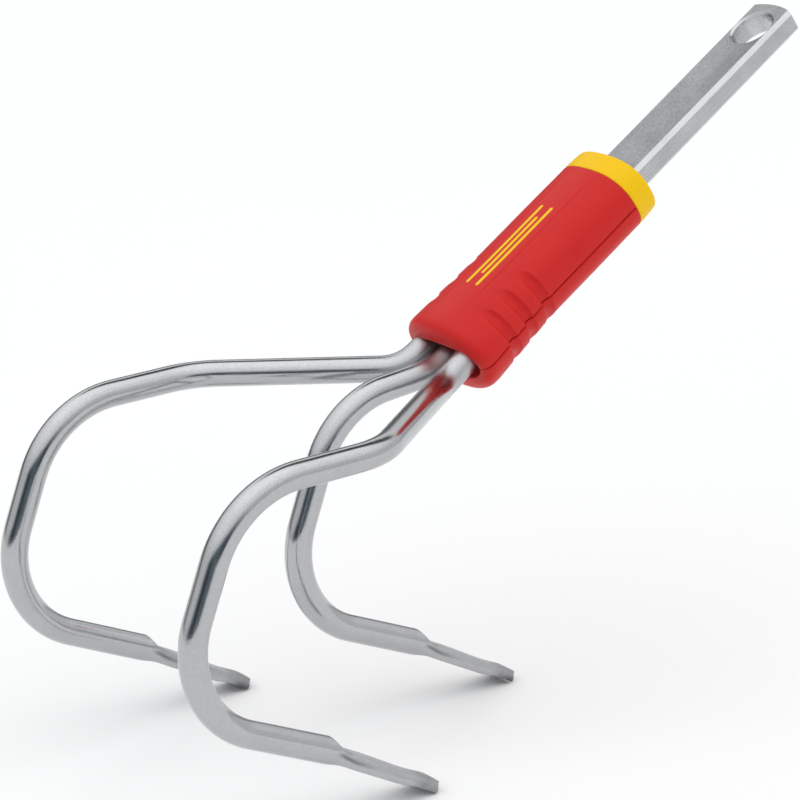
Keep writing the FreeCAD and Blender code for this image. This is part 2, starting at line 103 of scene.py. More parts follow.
def smoothstep(low, high, value):
    """0 at low, 1 at high, and a smooth rise between; low may be the greater of the two."""
    t = min(max((value - low) / (high - low), 0.0), 1.0)
    return t * t * (3.0 - 2.0 * t)


def mix(a, b, t):
    return a + (b - a) * t


# ---------------------------------------------------------------- material helpers
NOISE_LOW, NOISE_HIGH = 0.3, 0.7


class Material:
    """Small builder of node materials: add nodes, link sockets, finish with the shader."""

    def __init__(self, name):
        self.material = bpy.data.materials.new(name)
        self.material.use_nodes = True
        self.nodes = self.material.node_tree.nodes
        self.links = self.material.node_tree.links
        self.nodes.clear()
        self.output = self.nodes.new("ShaderNodeOutputMaterial")
        self.shader = self.nodes.new("ShaderNodeBsdfPrincipled")
        self.links.new(self.shader.outputs[0], self.output.inputs["Surface"])

    def node(self, kind, settings=None, **inputs):
        made = self.nodes.new("ShaderNode" + kind)
        for key, value in (settings or {}).items():
            setattr(made, key, value)
        for key, value in inputs.items():
            self.feed(made.inputs[key.replace("_", " ")], value)
        return made

    def feed(self, socket, value):
        if isinstance(value, bpy.types.NodeSocket):
            self.links.new(value, socket)
        else:
            socket.default_value = value

    def object_place(self):
        return self.node("TexCoord").outputs["Object"]

    def face_normal(self):
        return self.node("TexCoord").outputs["Normal"]

    def attribute(self, name):
        return self.node("Attribute", {"attribute_name": name}).outputs["Vector"]

    def noise(self, place, scale, detail, rough):
        return self.node("TexNoise", Vector=place, Scale=scale, Detail=detail,
                         Roughness=rough).outputs["Fac"]

    def stretch(self, place, scale):
        made = self.node("Mapping", Vector=place)
        made.inputs["Scale"].default_value = scale
        return made.outputs["Vector"]

    def turned(self, place, rotation, location=(0.0, 0.0, 0.0)):
        made = self.node("Mapping", {"vector_type": "TEXTURE"}, Vector=place)
        made.inputs["Rotation"].default_value = rotation
        made.inputs["Location"].default_value = location
        return made.outputs["Vector"]

    def math(self, operation, first, second=0.0):
        made = self.node("Math", {"operation": operation})
        for socket, value in zip(made.inputs, (first, second)):
            self.feed(socket, value)
        return made.outputs[0]

    def split(self, vector):
        return self.node("SeparateXYZ", Vector=vector).outputs

    def remap(self, value, low, high, to_low, to_high):
        made = self.node("MapRange", Value=value)
        for name, number in (("From Min", low), ("From Max", high),
                             ("To Min", to_low), ("To Max", to_high)):
            self.feed(made.inputs[name], number)
        return made.outputs["Result"]

    def spread(self, noise, low, high):
        """The usual range of a noise, mapped to a chosen range."""
        return self.remap(noise, NOISE_LOW, NOISE_HIGH, low, high)

    def blend(self, factor, first, second):
        made = self.node("Mix", {"data_type": "RGBA"})
        self.feed(made.inputs["Factor"], factor)
        self.feed(made.inputs["A"], first)
        self.feed(made.inputs["B"], second)
        return made.outputs["Result"]

    def bump(self, height, distance, strength, normal=None):
        made = self.node("Bump", Height=height, Distance=distance, Strength=strength)
        if normal is not None:
            self.feed(made.inputs["Normal"], normal)
        return made.outputs["Normal"]

    def finish(self, colour, roughness, normal, **constants):
        self.feed(self.shader.inputs["Base Color"], colour)
        self.feed(self.shader.inputs["Roughness"], roughness)
        self.feed(self.shader.inputs["Normal"], normal)
        for name, value in constants.items():
            self.shader.inputs[name.replace("_", " ")].default_value = value
        return self.material


def grey(value, tint=(1.0, 1.0, 1.0)):
    return (value * tint[0], value * tint[1], value * tint[2], 1.0)


# ---------------------------------------------------------------- steel
STEEL_TINT = (0.985, 1.0, 1.03)
PLATE_DARK, PLATE_LIGHT = grey(0.38, STEEL_TINT), grey(0.55, STEEL_TINT)
PLATE_LEVEL = 0.55
# Dark bare steel for the rubbed blade ends, also used as the colour of the painted crease shade.
BARE_STEEL_AND_CREASE_SHADE = grey(0.10, STEEL_TINT)
SCUFF_DARKENING, SCUFF_ROUGHNESS = 0.88, 0.18
# Painted shade: how far the crease line above the blade's lip is darkened.
CREASE_PAINTED_SHADE = 0.70
FORGED_ROUGHNESS = 0.22
DRAW_LINES = (5.0, 5.0, 9.0)  # stretch of the noise: round the bar twice, then along it
SMEARS = (60.0, 60.0, 160.0)
SMEAR_EDGE, SMEAR_LEAST = (0.42, 0.58), 0.55

TANG_DARK, TANG_LIGHT = grey(0.13, STEEL_TINT), grey(0.56, STEEL_TINT)
TANG_LEVEL = 0.98
# Painted shade: how much darker the flat faces and the sides are painted than the chamfers.
TANG_FACE_PAINTED_SHADE, TANG_SIDE_PAINTED_SHADE = 0.50, 0.23
TANG_FACE_ROUGHNESS = 0.08
TANG_MOTTLE, MOTTLE_EDGE = 0.30, (0.36, 0.64)
ROLL_LINES = (50.0, 1400.0, 1400.0)
SQUARE_ON = (0.90, 0.97)  # cosines between which a surface comes to count as a flat or a side

WELD_DARK, WELD_LIGHT = grey(0.22), grey(0.42)


def plated_steel():
    """Bright plate over drawn bar: long faint draw lines, cloudy plate, worn blade ends, and painted shade
    along the blade's crease.

    The sweep attribute holds the cosine and sine round the bar, and the length along it.
    The second attribute holds how rubbed and how rough the surface is, and how much painted shade darkens
    the crease above the blade's lip."""
    m = Material("plated_steel")
    place = m.object_place()
    sweep = m.attribute("sweep")
    rubbed, rougher, crease = m.split(m.attribute("wear_and_shade"))
    drawn = m.noise(m.stretch(sweep, DRAW_LINES), scale=3.0, detail=5.0, rough=0.62)
    cloud = m.noise(place, scale=140.0, detail=4.0, rough=0.55)
    grain = m.noise(place, scale=1900.0, detail=3.0, rough=0.6)
    smear = m.noise(m.stretch(place, SMEARS), scale=1.0, detail=4.0, rough=0.6)
    tone = m.math("ADD", m.spread(drawn, -0.10, 0.10), m.spread(cloud, -0.08, 0.08))
    tone = m.math("ADD", tone, m.spread(grain, -0.22, 0.22))
    colour = m.blend(m.math("ADD", tone, PLATE_LEVEL), PLATE_DARK, PLATE_LIGHT)
    scuff = m.math("MULTIPLY", rubbed, m.remap(smear, *SMEAR_EDGE, SMEAR_LEAST, 1.0))
    colour = m.blend(m.math("MULTIPLY", scuff, SCUFF_DARKENING), colour, BARE_STEEL_AND_CREASE_SHADE)
    # Painted shade: the line along the crease above the blade's lip is darkened in colour.
    colour = m.blend(m.math("MULTIPLY", crease, CREASE_PAINTED_SHADE), colour, BARE_STEEL_AND_CREASE_SHADE)
    rough = m.math("ADD", m.spread(cloud, 0.09, 0.16), m.spread(drawn, -0.02, 0.03))
    rough = m.math("ADD", rough, m.math("MULTIPLY", rougher, FORGED_ROUGHNESS))
    rough = m.math("ADD", rough, m.math("MULTIPLY", scuff, SCUFF_ROUGHNESS))
    lines = m.bump(drawn, distance=0.05 * MM, strength=0.5)
    normal = m.bump(grain, distance=0.012 * MM, strength=0.6, normal=lines)
    return m.finish(colour, rough, normal, Metallic=1.0)


def tang_steel():
    """Dull zinc plate over rolled flat bar: mottled faces; the faces and sides are painted darker as shade,
    so the chamfers stand out as a painted highlight.
    """
    m = Material("tang_steel")
    place = m.object_place()
    along = m.turned(place, TOOL_TURN, ORIGIN)
    facing = m.split(m.turned(m.face_normal(), TOOL_TURN))
    face = m.remap(m.math("ABSOLUTE", facing[2]), *SQUARE_ON, 0.0, 1.0)
    side = m.remap(m.math("ABSOLUTE", facing[1]), *SQUARE_ON, 0.0, 1.0)
    grain = m.noise(place, scale=1100.0, detail=4.0, rough=0.7)
    fine = m.noise(place, scale=3600.0, detail=2.0, rough=0.5)
    cloud = m.noise(place, scale=90.0, detail=4.0, rough=0.6)
    rolled = m.noise(m.stretch(along, ROLL_LINES), scale=1.0, detail=3.0, rough=0.5)
    mottle = m.math("MULTIPLY", m.remap(grain, *MOTTLE_EDGE, -0.5, 0.5), face)
    tone = m.math("ADD", m.math("MULTIPLY", mottle, TANG_MOTTLE), m.spread(rolled, -0.06, 0.06))
    tone = m.math("ADD", tone, m.spread(cloud, -0.10, 0.10))
    # Painted shade by facing: flat faces and sides are darkened, leaving the chamfers bright as a painted
    # highlight.
    level = m.math("SUBTRACT", TANG_LEVEL, m.math("MULTIPLY", face, TANG_FACE_PAINTED_SHADE))
    level = m.math("SUBTRACT", level, m.math("MULTIPLY", side, TANG_SIDE_PAINTED_SHADE))
    colour = m.blend(m.math("ADD", tone, level), TANG_DARK, TANG_LIGHT)
    rough = m.math("ADD", m.spread(grain, 0.20, 0.34), m.spread(rolled, -0.03, 0.05))
    rough = m.math("ADD", rough, m.math("MULTIPLY", face, TANG_FACE_ROUGHNESS))
    relief = m.bump(rolled, distance=0.03 * MM, strength=0.5)
    relief = m.bump(grain, distance=0.04 * MM, strength=0.5, normal=relief)
    normal = m.bump(fine, distance=0.015 * MM, strength=0.7, normal=relief)
    return m.finish(colour, rough, normal, Metallic=1.0)


def weld_metal():
    """Rippled weld bead, plated over."""
    m = Material("weld_metal")
    ripple = m.noise(m.object_place(), scale=600.0, detail=3.0, rough=0.6)
    colour = m.blend(ripple, WELD_DARK, WELD_LIGHT)
    rough = m.spread(ripple, 0.35, 0.6)
    normal = m.bump(ripple, distance=0.2 * MM, strength=0.6)
    return m.finish(colour, rough, normal, Metallic=1.0)


# ---------------------------------------------------------------- plastic
RED = (0.63, 0.022, 0.019, 1.0)
DEEP_RED = (0.57, 0.015, 0.016, 1.0)
YELLOW = (0.93, 0.57, 0.003, 1.0)
DEEP_YELLOW = (0.88, 0.51, 0.002, 1.0)
SATIN_SPECULAR = 0.15
INK_GLOSS = 0.08
SHADING_EDGE = (0.35, 0.65)
FLOW_SHADING, SPARK_SHADING = 0.35, 0.12

MARK_MIDDLE = -47.0 * MM
MARK_SPACING = 2.6 * MM
MARK_HALF_LENGTH = 18.5 * MM
MARK_SHORTER = 0.72
MARK_HALF_WIDTH = 0.62 * MM
MARK_SOFT = 0.08 * MM


def moulded(name, base, deep, mark=None):
    """Satin moulded plastic: fine spark-eroded texture, slight flow shading, a print if given."""
    m = Material(name)
    place = m.object_place()
    spark = m.noise(place, scale=1900.0, detail=3.0, rough=0.6)
    fine = m.noise(place, scale=5200.0, detail=2.0, rough=0.5)
    flow = m.noise(place, scale=45.0, detail=3.0, rough=0.5)
    colour = m.blend(m.remap(flow, *SHADING_EDGE, 0.0, FLOW_SHADING), base, deep)
    colour = m.blend(m.remap(spark, *SHADING_EDGE, 0.0, SPARK_SHADING), colour, deep)
    rough = m.math("ADD", m.spread(spark, 0.36, 0.46), m.spread(flow, -0.03, 0.04))
    if mark is not None:
        ink, mask = mark(m)
        colour = m.blend(mask, colour, ink)
        rough = m.math("SUBTRACT", rough, m.math("MULTIPLY", mask, INK_GLOSS))
    relief = m.bump(spark, distance=0.03 * MM, strength=0.45)
    normal = m.bump(fine, distance=0.01 * MM, strength=0.5, normal=relief)
    return m.finish(colour, rough, normal, Specular_IOR_Level=SATIN_SPECULAR)


def tine_strokes(m):
    """Generic print: three plain strokes side by side, the middle one shorter."""
    along, side, lift = m.split(m.turned(m.object_place(), TOOL_TURN, ORIGIN))
    total = None
    for k in (-1, 0, 1):
        half = MARK_HALF_LENGTH * (MARK_SHORTER if k == 0 else 1.0)
        away = m.math("ABSOLUTE", m.math("SUBTRACT", side, k * MARK_SPACING))
        reach = m.math("ABSOLUTE", m.math("SUBTRACT", along, MARK_MIDDLE))
        past = m.math("MAXIMUM", m.math("SUBTRACT", reach, half), 0.0)
        squares = m.math("ADD", m.math("POWER", away, 2.0), m.math("POWER", past, 2.0))
        distance = m.math("SQRT", squares)
        stroke = m.remap(distance, MARK_HALF_WIDTH, MARK_HALF_WIDTH + MARK_SOFT, 1.0, 0.0)
        total = stroke if total is None else m.math("MAXIMUM", total, stroke)
    on_top = m.math("GREATER_THAN", lift, 0.0)
    return YELLOW, m.math("MULTIPLY", total, on_top)


MATERIALS = {
    "plated_steel": plated_steel(),
    "tang_steel": tang_steel(),
    "weld_metal": weld_metal(),
    "red_plastic": moulded("red_plastic", RED, DEEP_RED, tine_strokes),
    "yellow_plastic": moulded("yellow_plastic", YELLOW, DEEP_YELLOW),
}


def dress(obj, slot, body, *nodes):
    """Give a piece its material and its body, and hide the CAD nodes that it stands for."""
    obj.data.materials.clear()
    obj.data.materials.append(MATERIALS[slot])
    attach(obj, body)
    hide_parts(*nodes)


# ---------------------------------------------------------------- tines: bent bars
ROD_RADIUS = 4.5 * MM
ROUND_COLUMNS = 128
ARC_STEP = math.radians(2.5)
ARC_STEPS_LEAST = 6
RUN_STEP = 2.5 * MM
RUN_STEPS_LEAST = 2
TINE_SMOOTH_ANGLE = 32.0

# Roots lie inside the sleeve, in the tool axis frame.
SIDE_ROOT = (-42.3 * MM, 9.1 * MM, 0.9 * MM)
MID_ROOT = (-42.3 * MM, 0.0, 0.3 * MM)

# Bends and heels in mm: ahead of the collar, off centre, above the ground, bend radius.
COLLAR_HEIGHT = 166.0
SIDE_BENDS = (
    (84.25, 11.9, 114.65, 15.5),
    (139.05, 55.8, 114.95, 26.0),
    (191.95, 55.8, 114.95, 34.5),
    (219.70, 55.8, 50.35, 31.5),
)
SIDE_HEEL = (163.55, 55.8, 23.15)
SIDE_SLOPE = math.radians(30.3)
MID_BENDS = (
    (78.45, 0.0, 115.65, 17.0),
    (118.85, 0.0, 112.25, 32.5),
    (145.95, 0.0, 47.95, 31.5),
)
MID_HEEL = (91.15, 0.0, 22.35)
MID_SLOPE = math.radians(29.6)


def on_stance(out, side, height):
    """Point of the standing tool: ahead of the collar, off centre and above the ground, in mm."""
    return Vector((ORIGIN.x - out * MM, side * MM, ORIGIN.z + (height - COLLAR_HEIGHT) * MM))


def straight_run(start, end):
    """Points from start to end, both left out."""
    count = max(RUN_STEPS_LEAST, int((end - start).length / RUN_STEP))
    return [start.lerp(end, k / count) for k in range(1, count)]


def bent_path(points, radii):
    """Points along straight runs and tangent arcs."""
    path = [points[0]]
    for before, corner, after, radius in zip(points, points[1:], points[2:], radii):
        back = (before - corner).normalized()
        ahead = (after - corner).normalized()
        half = back.angle(ahead) / 2.0
        turn = math.pi - 2.0 * half
        middle = (back + ahead).normalized()
        centre = corner + middle * (radius / math.sin(half))
        start = corner + back * (radius / math.tan(half))
        spoke = (start - centre).normalized()
        sweep_axis = spoke.cross(-back).normalized()
        steps = max(ARC_STEPS_LEAST, int(turn / ARC_STEP))
        path += straight_run(path[-1], start)
        for k in range(steps + 1):
            turned = Matrix.Rotation(turn * k / steps, 3, sweep_axis) @ spoke
            path.append(centre + turned * radius)
    return path + straight_run(path[-1], points[-1]) + [points[-1]]


# ---------------------------------------------------------------- tines: forged ends
# Distances are past the heel, along the blade; heights are above the bar's axis.
BLADE_START = -9.0 * MM
BLADE_END = 41.4 * MM
MID_BLADE_END = 40.0 * MM
BLADE_STEP = 0.45 * MM
HEEL_TURN = 3.0 * MM
EASE_ROUNDS = 2
LEAST = 1e-9

BLADE_TOP = 1.0 * MM
BLADE_BOTTOM = -3.12 * MM
RAMP_START, RAMP_FALL, RAMP_SOFT = -2.8 * MM, 0.68, 0.3 * MM
BOTTOM_FORMED = (-5.0 * MM, 3.0 * MM)
TOP_STEPS = ((0.45, 1.5, 6.0), (-0.55, 12.0, 33.0), (0.32, 33.5, 40.9))  # mm: height, from, to
BOTTOM_STEPS = ((0.72, 26.5, 32.0), (-0.05, 34.0, 41.1))
CROWN, CROWN_FORMED = 0.10 * MM, (0.0, 8.0 * MM)

BLADE_HALF_WIDTH = 5.8 * MM
WIDTH_FORMED = (-5.0 * MM, 9.0 * MM)
FLANK_FORMED = (-3.5 * MM, 8.0 * MM)
FLANK_INSET = 1.05 * MM
LIP_TOP = -0.95 * MM
LIP_INSET = 0.10 * MM
SHELF_SHARE = 0.22
FOOT_INSET, FOOT_HEIGHTS = 0.25 * MM, (-1.9 * MM, -3.4 * MM)
TIP_FLARE, TIP_FLARE_START = 0.15 * MM, 30.0 * MM
TIP_ROUND = 0.5 * MM

HANDLED, HANDLED_END = 0.9, (56.0 * MM, 72.0 * MM)  # the distances are along the bar from its root
ROUGH_FORMED = (-4.0 * MM, 5.0 * MM)
RUBBED_SHARES = (0.70, 0.90)
TOP_SPARED, SPARED_HEIGHTS = 0.65, (-2.2 * MM, 0.4 * MM)
# These place the painted shade line along the crease above the lip: where it fades in and out along the
# blade, its height above the lip and its spread.
CREASE_IN, CREASE_OUT = (-2.0 * MM, 1.5 * MM), (3.0 * MM, 17.0 * MM)
CREASE_LIFT, CREASE_HEEL_LIFT, CREASE_SETTLED = 0.35 * MM, 0.75 * MM, (0.0, 7.0 * MM)
CREASE_SPREAD = 0.60 * MM


def rounding(first, second, soft):
    """Softening where two heights cross: none once they are further apart than soft."""
    return 0.25 * soft * max(0.0, 1.0 - abs(first - second) / soft) ** 2


def stepped(steps, s):
    """Sum of smooth steps in height at a distance past the heel."""
    return sum(height * MM * smoothstep(start * MM, end * MM, s) for height, start, end in steps)


def blade_profile(s):
    """Top and bottom of the forged end above the bar's axis, at a distance past the heel."""
    ramp = ROD_RADIUS - (s - RAMP_START) * RAMP_FALL
    pressed = max(ramp, BLADE_TOP) + rounding(ramp, BLADE_TOP, RAMP_SOFT)
    top = min(ROD_RADIUS, pressed) - rounding(ROD_RADIUS, pressed, RAMP_SOFT)
    bottom = mix(-ROD_RADIUS, BLADE_BOTTOM, smoothstep(*BOTTOM_FORMED, s))
    return top + stepped(TOP_STEPS, s), bottom + stepped(BOTTOM_STEPS, s)


def side_reach(b, s):
    """Half width of the forged end at a height above the bar's axis."""
    width = mix(ROD_RADIUS, BLADE_HALF_WIDTH, smoothstep(*WIDTH_FORMED, s))
    width += TIP_FLARE * smoothstep(TIP_FLARE_START, BLADE_END, s)
    corner = min(max(s - (BLADE_END - TIP_ROUND), 0.0), TIP_ROUND)
    width -= TIP_ROUND - math.sqrt(TIP_ROUND * TIP_ROUND - corner * corner)
    barrel = width * math.sqrt(max(0.0, 1.0 - (b / ROD_RADIUS) ** 2))
    share = min(max((b - LIP_TOP) / (BLADE_TOP - LIP_TOP), 0.0), 1.0)
    shelf = SHELF_SHARE * smoothstep(0.0, SHELF_SHARE, share)
    flat = width - LIP_INSET - FLANK_INSET * (shelf + (1.0 - SHELF_SHARE) * share)
    flat -= FOOT_INSET * smoothstep(*FOOT_HEIGHTS, b)
    return mix(barrel, flat, smoothstep(*FLANK_FORMED, s))


def ring_point(angle, s):
    """Point of the section: round bar, then pressed flat between the top and bottom dies."""
    c, b = math.cos(angle), ROD_RADIUS * math.sin(angle)
    if s is None:
        return ROD_RADIUS * c, b
    top, bottom = blade_profile(s)
    sign = 1.0 if c >= 0.0 else -1.0
    if bottom <= b <= top:
        return sign * side_reach(b, s), b
    level = top if b > top else bottom
    edge = math.sqrt(max(LEAST, 1.0 - (level / ROD_RADIUS) ** 2))
    crown = CROWN * (1.0 - (abs(c) / edge) ** 2) * smoothstep(*CROWN_FORMED, s) if b > top else 0.0
    return sign * side_reach(level, s) * abs(c) / edge, level + crown


def eased(points, rounds):
    """Ring with its corners slightly rounded."""
    for _ in range(rounds):
        befores, afters = points[-1:] + points[:-1], points[1:] + points[:1]
        points = [tuple(0.25 * before + 0.5 * here + 0.25 * after for before, here, after in zip(*trio))
                  for trio in zip(befores, points, afters)]
    return points


def bar_wear_and_shade(s, b, travelled, blade_end):
    """How rubbed and how rough a point is, and how much painted shade darkens it along the crease, each from
    0 to 1.
    """
    handled = HANDLED * (1.0 - smoothstep(*HANDLED_END, travelled))
    if s is None:
        return 0.0, handled, 0.0
    spared = TOP_SPARED * smoothstep(*SPARED_HEIGHTS, b)
    rubbed = smoothstep(*RUBBED_SHARES, max(s, 0.0) / blade_end) * (1.0 - spared)
    # Painted shade: a dark line just above the lip's top edge, fading in at the heel and out along the
    # blade.
    faded = smoothstep(*CREASE_IN, s) * (1.0 - smoothstep(*CREASE_OUT, s))
    raised = CREASE_LIFT + CREASE_HEEL_LIFT * (1.0 - smoothstep(*CREASE_SETTLED, s))
    off_line = (b - LIP_TOP - raised) / CREASE_SPREAD
    crease = faded * math.exp(-off_line * off_line)
    return rubbed, max(smoothstep(*ROUGH_FORMED, s), handled), crease


def tine_rings(path, slope, blade_end):
    """Place, direction and distance past the heel of each section; none on the plain bar."""
    heel = path[-1]
    arrive = (path[-1] - path[-2]).normalized()
    run = Vector((math.cos(slope), 0.0, -math.sin(slope)))
    rings = []
    for k, place in enumerate(path):
        if (place - heel).length < -BLADE_START:
            break
        before, after = path[max(k - 1, 0)], path[min(k + 1, len(path) - 1)]
        rings.append((place, (after - before).normalized(), None))
    s = BLADE_START
    while s < blade_end + 0.5 * BLADE_STEP:
        station = min(s, blade_end)
        ahead = arrive if station <= 0.0 else run
        turn = smoothstep(-HEEL_TURN, HEEL_TURN, station)
        rings.append((heel + ahead * station, arrive.lerp(run, turn).normalized(), station))
        s += BLADE_STEP
    return rings


def tine(name, points, radii, slope, blade_end):
    """Round bar swept along its bends, its end forged down to a flat blade."""
    rings = tine_rings(bent_path(points, radii), slope, blade_end)
    angles = [2.0 * math.pi * j / ROUND_COLUMNS for j in range(ROUND_COLUMNS)]
    verts, sweep, wear_and_shade = [], [], []
    travelled = 0.0
    previous = rings[0][0]
    for place, direction, s in rings:
        side = (ACROSS - direction * direction.dot(ACROSS)).normalized()
        lift = side.cross(direction)
        travelled += (place - previous).length
        previous = place
        outline = [ring_point(-angle, s) for angle in angles]
        if s is not None:
            outline = eased(outline, EASE_ROUNDS)
        for angle, (a, b) in zip(angles, outline):
            verts.append(place + side * a - lift * b)
            sweep.append((math.cos(angle), math.sin(angle), travelled))
            wear_and_shade.append(bar_wear_and_shade(s, b, travelled, blade_end))
    faces = ring_faces(len(rings), ROUND_COLUMNS)
    faces.append(tuple(range(ROUND_COLUMNS))[::-1])
    last = (len(rings) - 1) * ROUND_COLUMNS
    faces.append(tuple(last + j for j in range(ROUND_COLUMNS)))
    return new_object(name, verts, faces, TINE_SMOOTH_ANGLE, {"sweep": sweep, "wear_and_shade": wear_and_shade})


def side_tine(name, hand):
    root = head_point(SIDE_ROOT[0], hand * SIDE_ROOT[1], SIDE_ROOT[2])
    bends = [on_stance(out, hand * side, height) for out, side, height, _ in SIDE_BENDS]
    heel = on_stance(SIDE_HEEL[0], hand * SIDE_HEEL[1], SIDE_HEEL[2])
    radii = [bend[3] * MM for bend in SIDE_BENDS]
    return tine(name, [root] + bends + [heel], radii, SIDE_SLOPE, BLADE_END)


def centre_tine(name):
    root = head_point(*MID_ROOT)
    bends = [on_stance(out, side, height) for out, side, height, _ in MID_BENDS]
    heel = on_stance(*MID_HEEL)
    radii = [bend[3] * MM for bend in MID_BENDS]
    return tine(name, [root] + bends + [heel], radii, MID_SLOPE, MID_BLADE_END)


dress(side_tine("left_tine_bar", 1.0), "plated_steel", "root", "left_tine")
dress(side_tine("right_tine_bar", -1.0), "plated_steel", "root", "right_tine")
dress(centre_tine("centre_tine_bar"), "plated_steel", "root", "centre_tine")


# ---------------------------------------------------------------- sleeve
# Places along the tool axis are negative ahead of the collar's rear face.
BODY_WIDE, BODY_HIGH, BODY_POWER = 17.75 * MM, 12.8 * MM, 2.5
BODY_SIDE, SWELL_RANGE = 17.95 * MM, (10.0 * MM, 30.0 * MM)
NOSE_WIDE, NOSE_HIGH, NOSE_LOW, NOSE_POWER = 21.6 * MM, 13.5 * MM, 15.3 * MM, 2.05
COLLAR_FRONT = 8.6 * MM
FLARE_START = 50.0 * MM
FLARE_EASE_WIDE, FLARE_EASE_HIGH = 0.12, 0.6
NOSE_BEGIN = 83.0 * MM
NOSE_END = 88.0 * MM
NOSE_BOW = 0.6 * MM
NOSE_FULLNESS = 0.72
LOWER_JUT, JUT_RANGE = 1.15 * MM, (0.0, 8.0 * MM)
RIM_WIDE, RIM_HIGH = 0.45 * MM, 0.9 * MM
MOUTH_WIDE, MOUTH_HIGH, MOUTH_POWER, MOUTH_LIFT = 16.9 * MM, 6.8 * MM, 2.3, -0.7 * MM
MOUTH_DEPTH = 7.0 * MM
BOW_FADE = (0.0, 5.0 * MM)
WALL = 2.7 * MM
PLASTIC_SMOOTH_ANGLE = 35.0

SEAM_LIFT = -1.2 * MM
SEAM_GAP = 0.13 * MM
SEAM_EASE = 0.55 * MM
SEAM_EASE_REACH = 0.45 * MM
SEAM_LEVEL_MOST = 0.999

# Finger grooves: each pair of values runs from a groove's ends to its middle, and the FULL
# value beside it is the share of that way at which the middle's value is reached.
GROOVE_VALLEYS = (-56.3 * MM, -65.5 * MM, -74.5 * MM)
GROOVE_DEPTH, GROOVE_DEPTH_FULL = 1.35 * MM, 0.55
GROOVE_SPREAD = math.radians(49.0)
GROOVE_REACHES, GROOVE_REACH_FULL = (1.9 * MM, 3.5 * MM), 0.45
GROOVE_FALLS, GROOVE_FALL_FULL = (3.0, 5.0), 0.6
GROOVE_RISES, GROOVE_RISE_SHARES = (2.2 * MM, 1.5 * MM), (0.2, 1.0)
GROOVE_RISE_POWER = 1.6
GROOVE_LOWER_FALL, GROOVE_LOWER_RISE = 0.6, 0.7

PANEL_HALF = 6.9 * MM
PANEL_DEPTH = 0.30 * MM
PANEL_SPREAD = 0.55 * MM
PANEL_POWER = 1.5
PANEL_REAR_FADE, PANEL_FRONT_FADE = (-14.0 * MM, -18.0 * MM), (-80.0 * MM, -73.0 * MM)

# Rings along a shell; each edge lists mm along the axis and mm of rounding.
REAR_EDGE = ((0.0, 0.25), (0.10, 0.08), (0.28, 0.0))
MOUTH_EDGE = ((0.0, 0.22), (0.06, 0.08), (0.22, 0.0), (1.5, 0.0), (4.0, 0.0), (7.0, 0.0))
PLAIN_STEP, GROOVED_STEP = 1.1 * MM, 0.33 * MM
GROOVED_BEHIND, GROOVED_AHEAD = 6.0 * MM, 3.0 * MM
NOSE_STEPS = 14
ROOM_SHARES = (0.0, 0.25, 0.5, 0.75, 1.0)
HALF_COLUMNS = 150
SEAM_COLUMNS = (0.0, 0.0022, 0.0048, 0.008, 0.013)


def oval_radius(angle, wide, high, power):
    """Distance from the centre of a superellipse to its edge."""
    c, s = math.cos(angle), math.sin(angle)
    return (abs(c / wide) ** power + abs(s / high) ** power) ** (-1.0 / power)


def groove_depth(x, angle):
    """Finger grooves: a crisp crescent edge behind, a floor, and a softer rise in front."""
    off = min(abs(abs(angle) - math.pi), abs(angle))
    u = 1.0 - off / GROOVE_SPREAD
    if u <= 0.0:
        return 0.0
    below = angle < 0.0
    depth = GROOVE_DEPTH * smoothstep(0.0, GROOVE_DEPTH_FULL, u)
    reach = mix(*GROOVE_REACHES, smoothstep(0.0, GROOVE_REACH_FULL, u))
    fall = mix(*GROOVE_FALLS, smoothstep(0.0, GROOVE_FALL_FULL, u)) * (GROOVE_LOWER_FALL if below else 1.0)
    rise = mix(*GROOVE_RISES, smoothstep(*GROOVE_RISE_SHARES, u)) * (GROOVE_LOWER_RISE if below else 1.0)
    for valley in GROOVE_VALLEYS:
        t = x - valley
        if 0.0 <= t < reach:
            return depth * (1.0 - (t / reach) ** fall)
        if -rise < t < 0.0:
            return depth * (1.0 + t / rise) ** GROOVE_RISE_POWER
    return 0.0


def panel_depth(x, y, z):
    """Thin crease along each side of the flat top, fading out near the collar and the nose."""
    if z < 0.0:
        return 0.0
    along = smoothstep(*PANEL_REAR_FADE, x) * smoothstep(*PANEL_FRONT_FADE, x)
    off_line = (abs(y) - PANEL_HALF) / PANEL_SPREAD
    return PANEL_DEPTH * along * max(0.0, 1.0 - abs(off_line)) ** PANEL_POWER


def outer_size(x):
    """Half width, half height above and below, and squareness of the outside at a station."""
    t = min(max((-x - FLARE_START) / (NOSE_BEGIN - FLARE_START), 0.0), 1.0)
    wide_t = t * t / (t + FLARE_EASE_WIDE) * (1.0 + FLARE_EASE_WIDE)
    high_t = t * t * (1.0 + FLARE_EASE_HIGH - FLARE_EASE_HIGH * t)
    body_wide = mix(BODY_WIDE, BODY_SIDE, smoothstep(*SWELL_RANGE, -x))
    return (mix(body_wide, NOSE_WIDE, wide_t), mix(BODY_HIGH, NOSE_HIGH, high_t),
            mix(BODY_HIGH, NOSE_LOW, high_t), mix(BODY_POWER, NOSE_POWER, wide_t))


def room_place(share):
    """Place along the axis inside the sleeve, from behind the mouth to the collar."""
    return mix(-(NOSE_END - MOUTH_DEPTH), -COLLAR_FRONT, share)


